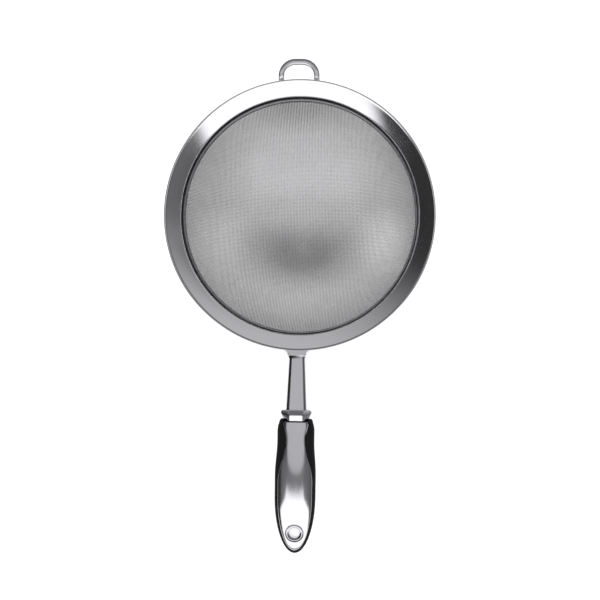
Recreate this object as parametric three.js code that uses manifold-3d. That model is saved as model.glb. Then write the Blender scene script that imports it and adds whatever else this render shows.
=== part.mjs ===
import * as THREE from 'three';
import { mergeVertices } from 'three/addons/utils/BufferGeometryUtils.js';
import Module from 'manifold-3d';

const wasm = await Module();
wasm.setup();

// A fine mesh strainer, in millimetres. The origin is on the bowl's axis, in the plane where the
// rest loop and the neck sit on the edge of a pot. +Z is up, +Y points to the rest loop and -Y to
// the end of the handle.

// Rim band: one sheet, rolled into a bead at the outside and turned down into a collar inside.
const RIM_DIAMETER = 229; // over the bead
const RIM_TOP_HEIGHT = 13.2; // above the pot's edge
const RIM_SHEET = 0.8;
const BEAD_DIAMETER = 3.6;
const BEAD_CROWN_WIDTH = 1; // flat on top of the bead
const FLANGE_WIDTH = 13.4; // from the outside of the bead to the inside of the collar
const FLANGE_DROP = 7; // from the bead's centre to the collar
const COLLAR_HEIGHT = 11;
const COLLAR_BEND = 0.7; // from the corner of flange and collar to where each is straight

// Mesh bowl and the ring that holds its edge in the collar.
const MESH_THICKNESS = 0.7; // two wires
const MESH_EDGE_DEPTH = 9; // from the top of the collar down to the edge of the mesh
const BOWL_DEPTH = 72; // below the collar
const MESH_OPENINGS = 12; // across the bowl, far fewer and larger than those between real wires
const MESH_BAR = 5; // between openings
const MESH_MARGIN = 7; // left plain inside the edge of the bowl
const RING_WALL = 1.5;
const RING_HEIGHT = 7;
const RING_FOOT_HEIGHT = 0.6; // above the foot of the collar
const RING_CHAMFER = 0.4;

// Rest loop: a wire bent to an arch, whose legs drop under the rim.
const LOOP_WIRE = 4.6;
const LOOP_WIDTH = 35.3; // over the wire
const LOOP_REACH = 19.1; // past the rim
const LOOP_BEND_RADIUS = 12.1; // at the middle of the wire
const LOOP_KNEE = 3; // past the rim, where a leg starts to drop
const LOOP_ROOT_DROP = 5; // below the arch

// Neck, with a flared root under the rim and a tang inside the handle.
const NECK_LENGTH = 49.8; // from the rim to the ferrule
const NECK_ROOT_WIDTH = 13.6;
const NECK_END_WIDTH = 18.2;
const NECK_THICKNESS = 8;
const FLARE_REACH = 7; // past the rim
const FLARE_RADIUS = 8; // in the neck's outline, seen from above
const FLARE_RISE = 4.2; // of the neck's top where the flare is fullest
const TANG_LENGTH = 55;
const TANG_WIDTH = 11;
const TANG_THICKNESS = 4;

// Ferrule between neck and handle.
const FERRULE_LENGTH = 9.6;
const FERRULE_WALL = 4.1; // at the sides of the neck
const FERRULE_HEIGHT = 17;
const FERRULE_FRONT_LIP = 1.8; // over and under the neck
const FERRULE_SLOPE_LENGTH = 5.2; // from the front lip to the full height
const FERRULE_EDGE = 0.9; // rounding at the front and back edges

// Handle: two steel shells over a core, with a soft grip at the sides and round the end.
const HANDLE_LENGTH = 113.4;
const HANDLE_THICKNESS = 18;
const HANDLE_SHOULDER_WIDTH = 28.4;
const HANDLE_WAIST_WIDTH = 31.4;
const HANDLE_BELLY_WIDTH = 34.8;
const SHOULDER_LENGTH = 8;
const WAIST_END = 16; // from the ferrule
const BELLY_START = 46; // from the ferrule
const TIP_LENGTH = 49.6;
const ARCH_START = 20; // from the ferrule
const ARCH_DROP = 8; // of the middle of the tip
const SHELL_SHEET = 1.2;
const SHELL_HEAD_WIDTH = 20.6; // next to the ferrule
const SHELL_WAIST_WIDTH = 15.5;
const SHELL_WAIST_AT = 14; // from the ferrule
const SHELL_BELLY_AT = 50; // from the ferrule
const GRIP_BORDER = 2.4; // soft grip that shows outside the shells

// Hanging hole.
const HANG_HOLE_DIAMETER = 9;
const HANG_HOLE_FROM_TIP = 18.6;
const EYELET_DIAMETER = 15;
const EYELET_DISH_WIDTH = 2;
const EYELET_DISH_DEPTH = 1.4;

// Clearance between pieces that fit together or are welded.
const FIT_GAP = 0.3;

// Fineness of the surfaces.
const ROUND_SEGMENTS = 60;
const BOWL_STEPS = 10;
const WIRE_STEPS = 6; // in half a turn
const LOOP_STEPS = 30;
const NECK_SIDES = 20;
const HOLE_SEGMENTS = 32;
const HANDLE_SIDES = 24;
const HANDLE_STEPS = 12;
const TIP_STEPS = 8;
const ARC_STEPS = 8;

const NECK_POWER = 3.5; // a flat section with rounded edges
const FERRULE_POWER = 2.8;
const HANDLE_POWER = 2.3; // nearly an ellipse
const TIP_SWEEP = THREE.MathUtils.degToRad(84); // the last section before the very tip

// Sizes that follow from those above.
const rimRadius = RIM_DIAMETER / 2;
const beadRadius = BEAD_DIAMETER / 2;
const crownHalfAngle = Math.asin(BEAD_CROWN_WIDTH / BEAD_DIAMETER);
const beadCentre = new THREE.Vector2(
  rimRadius - beadRadius,
  RIM_TOP_HEIGHT - beadRadius * Math.cos(crownHalfAngle),
);
const collarInside = rimRadius - FLANGE_WIDTH;
const collarTop = beadCentre.y - FLANGE_DROP;
const collarFoot = collarTop - COLLAR_HEIGHT;
const meshOutside = collarInside - FIT_GAP;
const meshInside = meshOutside - MESH_THICKNESS;
const meshEdge = collarTop - MESH_EDGE_DEPTH;
const neckMiddle = NECK_THICKNESS / 2;
const ferruleFront = -(rimRadius + NECK_LENGTH);
const ferruleBack = ferruleFront - FERRULE_LENGTH;
const handleFront = ferruleBack - FIT_GAP;
const tipStart = HANDLE_LENGTH - TIP_LENGTH;
const holeAlong = HANDLE_LENGTH - HANG_HOLE_FROM_TIP;

// Solids and surfaces.

function toSolid(geometry) {
  const bare = geometry.clone();
  bare.deleteAttribute('normal');
  bare.deleteAttribute('uv');
  const merged = mergeVertices(bare);
  return new wasm.Manifold(new wasm.Mesh({
    numProp: 3,
    vertProperties: new Float32Array(merged.getAttribute('position').array),
    triVerts: new Uint32Array(merged.getIndex().array),
  }));
}

function toGeometry(solid) {
  const mesh = solid.getMesh();
  const geometry = new THREE.BufferGeometry();
  geometry.setAttribute('position', new THREE.BufferAttribute(mesh.vertProperties, 3));
  geometry.setIndex(new THREE.BufferAttribute(mesh.triVerts, 1));
  geometry.computeVertexNormals();
  return geometry;
}

// Turns a profile of (radius, height) points about the Z axis.
function revolve(profile) {
  return new THREE.LatheGeometry(profile, ROUND_SEGMENTS).rotateX(Math.PI / 2);
}

function revolveRing(profile) {
  return revolve([...profile, profile[0]]);
}

// A round cutter along the Z axis, between two heights.
function roundCutter(low, high, lowRadius, highRadius = lowRadius) {
  const cutter = new THREE.CylinderGeometry(highRadius, lowRadius, high - low, HOLE_SEGMENTS);
  cutter.rotateX(Math.PI / 2);
  return cutter.translate(0, 0, (low + high) / 2);
}

function surface(points, triangles) {
  const geometry = new THREE.BufferGeometry().setFromPoints(points);
  geometry.setIndex(triangles);
  geometry.computeVertexNormals();
  return geometry;
}

// Triangles that join each loop to the next. Loops turn from +X to +Z and follow each other to -Y.
function skin(loopCount, pointCount, closed) {
  const triangles = [];
  const rows = closed ? loopCount : loopCount - 1;
  for (let row = 0; row < rows; row += 1) {
    const here = row * pointCount;
    const there = ((row + 1) % loopCount) * pointCount;
    for (let i = 0; i < pointCount; i += 1) {
      const next = (i + 1) % pointCount;
      triangles.push(here + i, here + next, there + i);
      triangles.push(here + next, there + next, there + i);
    }
  }
  return triangles;
}

function capFaces(loop) {
  const outline = loop.map((point) => new THREE.Vector2(point.x, point.z));
  return THREE.ShapeUtils.triangulateShape(outline, []);
}

// A solid through the loops, with flat ends or, where an apex is given, a pointed far end.
function loft(loops, apex) {
  const count = loops[0].length;
  const points = loops.flat();
  const triangles = skin(loops.length, count, false);
  const lastLoop = (loops.length - 1) * count;
  for (const [a, b, c] of capFaces(loops[0])) {
    triangles.push(c, b, a);
  }
  if (apex) {
    for (let i = 0; i < count; i += 1) {
      triangles.push(lastLoop + i, lastLoop + (i + 1) % count, points.length);
    }
    points.push(apex);
  } else {
    for (const [a, b, c] of capFaces(loops.at(-1))) {
      triangles.push(lastLoop + a, lastLoop + b, lastLoop + c);
    }
  }
  return surface(points, triangles);
}

// A sleeve: the loops run along the outside and back along the inside.
function loftRing(loops) {
  return surface(loops.flat(), skin(loops.length, loops[0].length, true));
}

// A rounded section across the handle's direction. A higher power makes it squarer.
function ovalLoop(y, middle, width, height, power, sides) {
  const loop = [];
  for (let i = 0; i < sides; i += 1) {
    const angle = i / sides * Math.PI * 2;
    const across = Math.sign(Math.cos(angle)) * Math.abs(Math.cos(angle)) ** (2 / power);
    const up = Math.sign(Math.sin(angle)) * Math.abs(Math.sin(angle)) ** (2 / power);
    loop.push(new THREE.Vector3(width / 2 * across, y, middle + height / 2 * up));
  }
  return loop;
}

function arcPoints(centre, radius, from, to, steps) {
  const points = [];
  for (let i = 0; i <= steps; i += 1) {
    const angle = from + (to - from) * i / steps;
    points.push(new THREE.Vector2(Math.cos(angle), Math.sin(angle)).multiplyScalar(radius).add(centre));
  }
  return points;
}

// Points beside a line, at a distance to its left.
function besideLine(line, distance) {
  return line.map((point, i) => {
    const before = line[Math.max(i - 1, 0)];
    const after = line[Math.min(i + 1, line.length - 1)];
    const along = after.clone().sub(before).normalize();
    return new THREE.Vector2(point.x - along.y * distance, point.y + along.x * distance);
  });
}

// Rim band.

// The flange leaves the upper side of the bead and runs straight to the corner above the collar.
const collarCorner = new THREE.Vector2(collarInside + RIM_SHEET / 2, collarTop);
const toCollar = collarCorner.clone().sub(beadCentre);
const foldRadius = beadRadius - RIM_SHEET / 2; // at the middle of the sheet
const flangeAngle = toCollar.angle() + Math.asin(foldRadius / toCollar.length());
const foldAngle = flangeAngle - Math.PI / 2; // where the flange leaves the bead
const flangeWay = new THREE.Vector2(Math.cos(flangeAngle), Math.sin(flangeAngle));
const flangeUp = new THREE.Vector2(Math.cos(foldAngle), Math.sin(foldAngle));
const leavesBead = beadCentre.clone().addScaledVector(flangeUp, foldRadius);

function rimMiddleLine() {
  const bendStart = collarCorner.clone().addScaledVector(flangeWay, -COLLAR_BEND);
  const bendEnd = collarCorner.clone().setY(collarTop - COLLAR_BEND);
  const bend = new THREE.QuadraticBezierCurve(bendStart, collarCorner, bendEnd);
  return [leavesBead, ...bend.getPoints(3), collarCorner.clone().setY(collarFoot)];
}

function rimBand() {
  const line = rimMiddleLine();
  const underside = besideLine(line, RIM_SHEET / 2).slice(1).reverse();
  const topside = besideLine(line, -RIM_SHEET / 2);
  const crown = Math.PI * 2.5;
  const tuckedAngle = foldAngle + Math.acos((foldRadius - RIM_SHEET / 2) / beadRadius);
  const bead = [
    ...arcPoints(beadCentre, beadRadius, tuckedAngle, crown - crownHalfAngle, 8),
    ...arcPoints(beadCentre, beadRadius, crown + crownHalfAngle, foldAngle + Math.PI * 2, 3).slice(0, -1),
  ];
  return revolveRing([...underside, ...bead, ...topside]);
}

// The space that the rim takes up, grown by the gap that a welded piece keeps to it.
function rimEnvelope() {
  const line = rimMiddleLine();
  const gap = RIM_SHEET / 2 + FIT_GAP;
  const outside = besideLine(line, gap).slice(1).reverse();
  const beadFoot = beadCentre.y - beadRadius - FIT_GAP;
  const meetsBead = leavesBead.clone().addScaledVector(flangeUp, -gap);
  meetsBead.addScaledVector(flangeWay, (beadFoot - meetsBead.y) / flangeWay.y);
  const edge = rimRadius + FIT_GAP;
  const hollow = collarInside - FLANGE_WIDTH;
  const top = RIM_TOP_HEIGHT + NECK_THICKNESS;
  return toSolid(revolveRing([
    new THREE.Vector2(hollow, collarFoot),
    ...outside,
    meetsBead,
    new THREE.Vector2(edge, beadFoot),
    new THREE.Vector2(edge, top),
    new THREE.Vector2(hollow, top),
  ]));
}

// Mesh bowl and its ring.

// Square openings in a plain grid, seen from above, with about the open share of a woven mesh.
function meshOpenings() {
  const reach = meshInside - MESH_MARGIN;
  const pitch = 2 * reach / MESH_OPENINGS;
  const size = pitch - MESH_BAR;
  const openings = [];
  for (let row = 0; row < MESH_OPENINGS; row += 1) {
    for (let column = 0; column < MESH_OPENINGS; column += 1) {
      const x = (column + 0.5) * pitch - reach;
      const y = (row + 0.5) * pitch - reach;
      const corner = Math.hypot(Math.abs(x) + size / 2, Math.abs(y) + size / 2);
      if (corner < reach) {
        const opening = new THREE.BoxGeometry(size, size, 2 * BOWL_DEPTH);
        openings.push(toSolid(opening.translate(x, y, collarFoot - BOWL_DEPTH)));
      }
    }
  }
  return wasm.Manifold.union(openings);
}

function meshBowl() {
  const radius = (meshOutside ** 2 + BOWL_DEPTH ** 2) / (2 * BOWL_DEPTH);
  const centre = new THREE.Vector2(0, collarFoot - BOWL_DEPTH + radius);
  const pole = -Math.PI / 2;
  const outerEdge = -Math.acos(meshOutside / radius);
  const innerRadius = radius - MESH_THICKNESS;
  const innerEdge = -Math.acos(meshInside / innerRadius);
  const outer = arcPoints(centre, radius, pole, outerEdge, BOWL_STEPS);
  const inner = arcPoints(centre, innerRadius, innerEdge, pole, BOWL_STEPS);
  outer[0].x = 0;
  inner.at(-1).x = 0;
  const cloth = revolve([
    ...outer,
    new THREE.Vector2(meshOutside, meshEdge),
    new THREE.Vector2(meshInside, meshEdge),
    ...inner,
  ]);
  return toGeometry(toSolid(cloth).subtract(meshOpenings()));
}

function retainingRing() {
  const outside = meshInside - FIT_GAP;
  const inside = outside - RING_WALL;
  const foot = collarFoot + RING_FOOT_HEIGHT;
  const top = foot + RING_HEIGHT;
  return revolveRing([
    new THREE.Vector2(inside, foot),
    new THREE.Vector2(outside, foot),
    new THREE.Vector2(outside, top - RING_CHAMFER),
    new THREE.Vector2(outside - RING_CHAMFER, top),
    new THREE.Vector2(inside + RING_CHAMFER, top),
    new THREE.Vector2(inside, top - RING_CHAMFER),
  ]);
}

// Rest loop.

function quarterBend(from, corner, to) {
  const roundness = 0.5523; // puts the curve's handles where a quarter circle has them
  const leaving = from.clone().lerp(corner, roundness);
  const arriving = to.clone().lerp(corner, roundness);
  return new THREE.CubicBezierCurve3(from, leaving, arriving, to);
}

function restLoop() {
  const wireRadius = LOOP_WIRE / 2;
  const side = LOOP_WIDTH / 2 - wireRadius;
  const far = rimRadius + LOOP_REACH - wireRadius;
  const root = Math.sqrt(collarInside ** 2 - (LOOP_WIDTH / 2) ** 2);
  const knee = rimRadius + LOOP_KNEE;
  const bendsAt = far - LOOP_BEND_RADIUS;
  const straight = side - LOOP_BEND_RADIUS;
  const at = (x, y) => new THREE.Vector3(x, y, wireRadius);
  const rootAt = (x) => new THREE.Vector3(x, root, wireRadius - LOOP_ROOT_DROP);
  const path = new THREE.CurvePath();
  path.add(new THREE.QuadraticBezierCurve3(rootAt(-side), at(-side, knee), at(-side, bendsAt)));
  path.add(quarterBend(at(-side, bendsAt), at(-side, far), at(-straight, far)));
  path.add(new THREE.LineCurve3(at(-straight, far), at(straight, far)));
  path.add(quarterBend(at(straight, far), at(side, far), at(side, bendsAt)));
  path.add(new THREE.QuadraticBezierCurve3(at(side, bendsAt), at(side, knee), rootAt(side)));
  const section = new THREE.Shape().absarc(0, 0, wireRadius, 0, Math.PI * 2);
  const wire = new THREE.ExtrudeGeometry(section, {
    extrudePath: path,
    steps: LOOP_STEPS,
    curveSegments: WIRE_STEPS,
  });
  return toGeometry(toSolid(wire).subtract(rimEnvelope()));
}

// Neck and ferrule.

// How full the flare is, from 0 along the neck to 1 under the rim: a quarter circle.
function flareAt(pastRim) {
  const intoFlare = THREE.MathUtils.clamp((FLARE_REACH - pastRim) / FLARE_RADIUS, 0, 1);
  return 1 - Math.sqrt(1 - intoFlare ** 2);
}

function neckLoop(pastRim) {
  const taper = THREE.MathUtils.clamp(pastRim / NECK_LENGTH, 0, 1);
  const straight = THREE.MathUtils.lerp(NECK_ROOT_WIDTH, NECK_END_WIDTH, taper);
  const flare = flareAt(pastRim);
  const width = straight + 2 * FLARE_RADIUS * flare;
  const height = NECK_THICKNESS + FLARE_RISE * flare;
  return ovalLoop(-(rimRadius + pastRim), height / 2, width, height, NECK_POWER, NECK_SIDES);
}

function tangLoop(y) {
  return ovalLoop(y, neckMiddle, TANG_WIDTH, TANG_THICKNESS, NECK_POWER, NECK_SIDES);
}

function neckStem() {
  const flareSteps = 6;
  const loops = [neckLoop(-FLANGE_WIDTH)];
  for (let i = 0; i <= flareSteps; i += 1) {
    const intoFlare = FLARE_RADIUS * Math.sin((1 - i / flareSteps) * Math.PI / 2);
    loops.push(neckLoop(FLARE_REACH - intoFlare));
  }
  loops.push(neckLoop(NECK_LENGTH), neckLoop(NECK_LENGTH + FERRULE_LENGTH));
  loops.push(tangLoop(ferruleBack), tangLoop(ferruleBack - TANG_LENGTH));
  return toGeometry(toSolid(loft(loops)).subtract(rimEnvelope()));
}

function neckFerrule() {
  const holeWidth = NECK_END_WIDTH + 2 * FIT_GAP;
  const holeHeight = NECK_THICKNESS + 2 * FIT_GAP;
  const width = holeWidth + 2 * FERRULE_WALL;
  const lipHeight = holeHeight + 2 * FERRULE_FRONT_LIP;
  const shrink = 2 * FERRULE_EDGE;
  const outer = (y, wide, high) => ovalLoop(y, neckMiddle, wide, high, FERRULE_POWER, NECK_SIDES);
  const hole = (y) => ovalLoop(y, neckMiddle, holeWidth, holeHeight, NECK_POWER, NECK_SIDES);
  return loftRing([
    outer(ferruleFront, width - shrink, lipHeight - shrink),
    outer(ferruleFront - FERRULE_EDGE, width, lipHeight),
    outer(ferruleFront - FERRULE_SLOPE_LENGTH, width, FERRULE_HEIGHT),
    outer(ferruleBack + FERRULE_EDGE, width, FERRULE_HEIGHT),
    outer(ferruleBack, width - shrink, FERRULE_HEIGHT - shrink),
    hole(ferruleBack),
    hole(ferruleFront),
  ]);
}

// Handle. Along is the distance from the handle's front towards its tip.

function tipScale(along, inset) {
  const intoTip = Math.max(along - tipStart, 0) / (TIP_LENGTH - inset);
  return Math.sqrt(Math.max(1 - intoTip ** 2, 0));
}

function bodyHalfWidth(along) {
  const shoulder = Math.sin(Math.min(along / SHOULDER_LENGTH, 1) * Math.PI / 2);
  const waist = THREE.MathUtils.lerp(HANDLE_SHOULDER_WIDTH, HANDLE_WAIST_WIDTH, shoulder);
  const belly = THREE.MathUtils.smoothstep(along, WAIST_END, BELLY_START);
  return THREE.MathUtils.lerp(waist, HANDLE_BELLY_WIDTH, belly) / 2;
}

function archMiddle(along) {
  const intoArch = Math.max(along - ARCH_START, 0) / (HANDLE_LENGTH - ARCH_START);
  return neckMiddle - ARCH_DROP * intoArch ** 2;
}

// Half the width and height of the handle's oval, inset from its outside.
function handleOval(along, inset) {
  const scale = tipScale(along, inset);
  return {
    halfWidth: (bodyHalfWidth(along) - inset) * scale,
    halfHeight: (HANDLE_THICKNESS / 2 - inset) * scale,
    middle: archMiddle(along),
  };
}

// Half the width of the shells, seen from above.
function shellHalfWidth(along, grow = 0) {
  const intoWaist = THREE.MathUtils.smoothstep(along, 0, SHELL_WAIST_AT);
  const waist = THREE.MathUtils.lerp(SHELL_HEAD_WIDTH, SHELL_WAIST_WIDTH, intoWaist) / 2;
  const intoBelly = THREE.MathUtils.smoothstep(along, SHELL_WAIST_AT, SHELL_BELLY_AT);
  const belly = bodyHalfWidth(along) - GRIP_BORDER;
  const half = THREE.MathUtils.lerp(waist, belly, intoBelly) + grow;
  return half * tipScale(along, GRIP_BORDER - grow);
}

// Sections along the handle, closer together where the tip turns in.
function handleStations(inset) {
  const stations = [];
  for (let i = 0; i < HANDLE_STEPS; i += 1) {
    stations.push(tipStart * i / HANDLE_STEPS);
  }
  for (let i = 0; i <= TIP_STEPS; i += 1) {
    stations.push(tipStart + (TIP_LENGTH - inset) * Math.sin(TIP_SWEEP * i / TIP_STEPS));
  }
  return stations;
}

function handleBody() {
  const loops = handleStations(0).map((along) => {
    const oval = handleOval(along, 0);
    const [width, height] = [oval.halfWidth * 2, oval.halfHeight * 2];
    return ovalLoop(handleFront - along, oval.middle, width, height, HANDLE_POWER, HANDLE_SIDES);
  });
  const tip = new THREE.Vector3(0, handleFront - HANDLE_LENGTH, archMiddle(HANDLE_LENGTH));
  return toSolid(loft(loops, tip));
}

// Points across the handle from +X to -X, on its upper or lower side, inset from its outside.
function acrossHandle(along, inset, side) {
  const oval = handleOval(along, inset);
  const half = shellHalfWidth(along);
  const points = [];
  for (let i = 0; i <= ARC_STEPS; i += 1) {
    const x = half * (1 - 2 * i / ARC_STEPS);
    const rise = (1 - Math.abs(x / oval.halfWidth) ** HANDLE_POWER) ** (1 / HANDLE_POWER);
    points.push(new THREE.Vector3(x, handleFront - along, oval.middle + side * oval.halfHeight * rise));
  }
  return points;
}

// A layer of the handle between an upper and a lower surface, inside the shells' outline.
function handleLayer(upper, lower) {
  const loops = handleStations(GRIP_BORDER).map((along) => [
    ...acrossHandle(along, upper.inset, upper.side),
    ...acrossHandle(along, lower.inset, lower.side).reverse(),
  ]);
  return toSolid(loft(loops));
}

function hangHoleCutter(diameter) {
  const cutter = roundCutter(-HANDLE_LENGTH, HANDLE_LENGTH, diameter / 2);
  return toSolid(cutter.translate(0, handleFront - holeAlong, 0));
}

const eyeletSeat = EYELET_DIAMETER + 2 * FIT_GAP;

function handleTopShell() {
  const layer = handleLayer({ inset: 0, side: 1 }, { inset: SHELL_SHEET, side: 1 });
  return toGeometry(layer.subtract(hangHoleCutter(eyeletSeat)));
}

function handleBottomShell() {
  const layer = handleLayer({ inset: SHELL_SHEET, side: -1 }, { inset: 0, side: -1 });
  return toGeometry(layer.subtract(hangHoleCutter(eyeletSeat)));
}

function handleCore() {
  const inset = SHELL_SHEET + FIT_GAP;
  const layer = handleLayer({ inset, side: 1 }, { inset, side: -1 });
  const grow = 2 * FIT_GAP;
  const slot = new THREE.BoxGeometry(TANG_WIDTH + grow, 2 * (TANG_LENGTH + FIT_GAP), TANG_THICKNESS + grow);
  slot.translate(0, ferruleBack, neckMiddle);
  return toGeometry(layer.subtract(toSolid(slot)).subtract(hangHoleCutter(eyeletSeat)));
}

function softGrip() {
  const side = handleStations(GRIP_BORDER - FIT_GAP).map((along) => (
    new THREE.Vector2(shellHalfWidth(along, FIT_GAP), handleFront - along)
  ));
  const front = new THREE.Vector2(side[0].x, handleFront + FERRULE_LENGTH);
  const right = [front, ...side];
  const left = right.map((point) => new THREE.Vector2(-point.x, point.y)).reverse();
  const outline = new THREE.Shape([...right, ...left]);
  const inside = new THREE.ExtrudeGeometry(outline, { depth: 4 * HANDLE_THICKNESS, bevelEnabled: false });
  inside.translate(0, 0, neckMiddle - 2 * HANDLE_THICKNESS);
  return toGeometry(handleBody().subtract(toSolid(inside)).subtract(hangHoleCutter(eyeletSeat)));
}

// Height of the handle's upper or lower side along its middle.
function sideHeight(along, side) {
  const oval = handleOval(along, 0);
  return oval.middle + side * oval.halfHeight;
}

// A cone that dishes the eyelet square to the handle's upper or lower side.
function dishCutter(side) {
  const hole = HANG_HOLE_DIAMETER / 2;
  const wide = hole + 2 * EYELET_DISH_WIDTH;
  const [above, below] = [holeAlong + hole, holeAlong - hole];
  const slope = Math.atan((sideHeight(below, side) - sideHeight(above, side)) / HANG_HOLE_DIAMETER);
  const [low, high] = side > 0 ? [hole, wide] : [wide, hole];
  const cone = roundCutter(-EYELET_DISH_DEPTH, EYELET_DISH_DEPTH, low, high);
  cone.rotateX(slope);
  return toSolid(cone.translate(0, handleFront - holeAlong, sideHeight(holeAlong, side)));
}

function hangEyelet() {
  const sleeve = handleBody().intersect(hangHoleCutter(EYELET_DIAMETER));
  const bored = sleeve.subtract(hangHoleCutter(HANG_HOLE_DIAMETER));
  return toGeometry(bored.subtract(dishCutter(1)).subtract(dishCutter(-1)));
}

// Finishes.

const polishedSteel = new THREE.MeshStandardMaterial({ color: 0xb9b9bb, roughness: 0.18, metalness: 1 });
const satinSteel = new THREE.MeshStandardMaterial({ color: 0xaeadb1, roughness: 0.35, metalness: 1 });
const wireMesh = new THREE.MeshStandardMaterial({ color: 0xa0a0a2, roughness: 0.4, metalness: 1 });
const softBlack = new THREE.MeshStandardMaterial({ color: 0x1e1f20, roughness: 0.65, metalness: 0 });
const coreNylon = new THREE.MeshStandardMaterial({ color: 0x2c2c2e, roughness: 0.55, metalness: 0 });

const strainer = new THREE.Group();

function addPart(name, geometry, material) {
  const part = new THREE.Mesh(geometry, material);
  part.name = name;
  strainer.add(part);
}

addPart('rim_band', rimBand(), polishedSteel);
addPart('mesh_bowl', meshBowl(), wireMesh);
addPart('mesh_retaining_ring', retainingRing(), polishedSteel);
addPart('rest_loop', restLoop(), polishedSteel);
addPart('neck_stem', neckStem(), satinSteel);
addPart('neck_ferrule', neckFerrule(), polishedSteel);
addPart('handle_core', handleCore(), coreNylon);
addPart('handle_top_shell', handleTopShell(), satinSteel);
addPart('handle_bottom_shell', handleBottomShell(), satinSteel);
addPart('soft_grip', softGrip(), softBlack);
addPart('hang_eyelet', hangEyelet(), polishedSteel);

export default strainer;
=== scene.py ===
import math

import bmesh
import bpy
import numpy as np
from mathutils import Matrix, Vector


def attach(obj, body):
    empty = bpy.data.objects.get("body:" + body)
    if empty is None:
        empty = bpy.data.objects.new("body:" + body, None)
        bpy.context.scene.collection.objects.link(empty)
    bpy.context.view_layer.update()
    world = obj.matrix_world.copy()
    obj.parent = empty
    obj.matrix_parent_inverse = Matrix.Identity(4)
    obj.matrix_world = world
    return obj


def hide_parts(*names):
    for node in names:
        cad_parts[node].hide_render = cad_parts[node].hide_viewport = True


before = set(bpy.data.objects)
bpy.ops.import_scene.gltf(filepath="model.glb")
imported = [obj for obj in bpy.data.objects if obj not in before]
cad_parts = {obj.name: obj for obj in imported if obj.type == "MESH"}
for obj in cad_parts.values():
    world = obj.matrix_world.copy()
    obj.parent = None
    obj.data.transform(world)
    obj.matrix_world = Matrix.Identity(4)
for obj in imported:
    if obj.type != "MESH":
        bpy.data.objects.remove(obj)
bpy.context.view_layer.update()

# A fine mesh strainer. Lengths are in millimetres until a mesh is made.
MM = 0.001

# Rim band.
RIM_RADIUS = 114.5
RIM_TOP = 13.2
RIM_SHEET = 0.8
BEAD_RADIUS = 1.8  # to the outside of the rolled sheet
BEAD_TUCK = -105  # degrees round the bead to the end of the sheet
CREST_RADIUS = 0.85  # the bead is rolled tighter at its top
FOLD_RADIUS = 2.8  # where the sheet leaves the bead for the flange
FOLD_START = 98  # degrees
FLANGE_SLOPE = 38  # degrees
FLANGE_POINTS = 12
COLLAR_INSIDE = 101.1
COLLAR_FOOT = -6.53
COLLAR_BEND = 0.7
FLANGE_BOW = 0.08  # how far the flange sags below a straight line
RIM_SEGMENTS = 288

# Mesh bowl and its ring.
WARP_DIAMETER = 0.5
WEFT_DIAMETER = 0.28
WARP_PITCH = 1.36
WEFT_PITCH = 1.25
CLOTH_REACH = 1.62  # radians from the lowest point to the end of the widest wires
BOWL_RADIUS = 106.21  # at the middle of the mesh
BOWL_CENTRE_HEIGHT = 28.03
MESH_SKIRT_RADIUS = 100.45
MESH_EDGE_HEIGHT = -5.2
HEM_TOP = -2.4
HEM_THICKNESS = 1.0
RING_INSIDE = 98.3
RING_OUTSIDE = 99.8
RING_FOOT = -5.93
RING_TOP = 1.07

# Rest loop.
LOOP_WIRE = 5.2
LOOP_POWER = 3.6  # the wire is pressed flat
LOOP_ASIDE = -2.4  # the loop stands a little to one side of the handle's line
LOOP_WIDTH = 35.3
LOOP_REACH = 19.1
LOOP_BEND_RADIUS = 12.1
LOOP_ROOT_DROP = 5.6
LOOP_DIP = [(9.0, 0.0), (5.6, 0.0), (-1.0, 2.6), (-8.0, 5.4)]  # past the rim, and below the level part

# Neck and ferrule.
NECK_LENGTH = 49.8
NECK_ROOT_WIDTH = 13.6
NECK_END_WIDTH = 18.2
NECK_THICKNESS = 8.0
NECK_POWER = 3.0
FLARE_REACH = 7.5
FLARE_RADIUS = 8.3
NECK_UNDER = 11.4  # how far the neck reaches in under the rim
ROOT_POWER = 9.0  # the neck's root has a squarer section than the rest
ROOT_TOP = RIM_TOP + 0.04  # the root is welded over the outside of the bead
ROOT_OVER = 0.9  # how far it reaches over the bead
ROOT_STEP = (3.2, 4.6)  # past the rim, where the root's top falls to the neck's
WELD_SINK = 0.05  # how far welded pieces go into each other
CREASE_SHADE_AT = 4.9  # past the rim, the painted shade in the crease behind the weld
CREASE_SHADE_WIDTH = 2.1
TANG_LENGTH = 55.0
TANG_WIDTH = 11.0
TANG_THICKNESS = 4.0
FERRULE_LENGTH = 9.6
FERRULE_WIDTH = 27.0
FERRULE_HEIGHT = 17.0
FERRULE_LIP_HEIGHT = 13.4
FERRULE_TOP_WIDTH = 10.8
FERRULE_SIDE_HEIGHT = 6.4
FERRULE_ROUNDING = [1.6, 2.0, 2.0, 1.6]  # of the four corners on its upper or lower half
FERRULE_RISE_AT = 0.2  # from its front, where the lip starts to rise to the crown
FERRULE_CROWN_AT = 4.2
FERRULE_CROWN_FALL = 0.17  # behind the crown, for each millimetre
FERRULE_WIDEST_AT = 2.5
FERRULE_WAIST = 2.7  # narrower behind, between the ends of the soft grip
FERRULE_NOSE = 1.0  # narrower at the front

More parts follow.
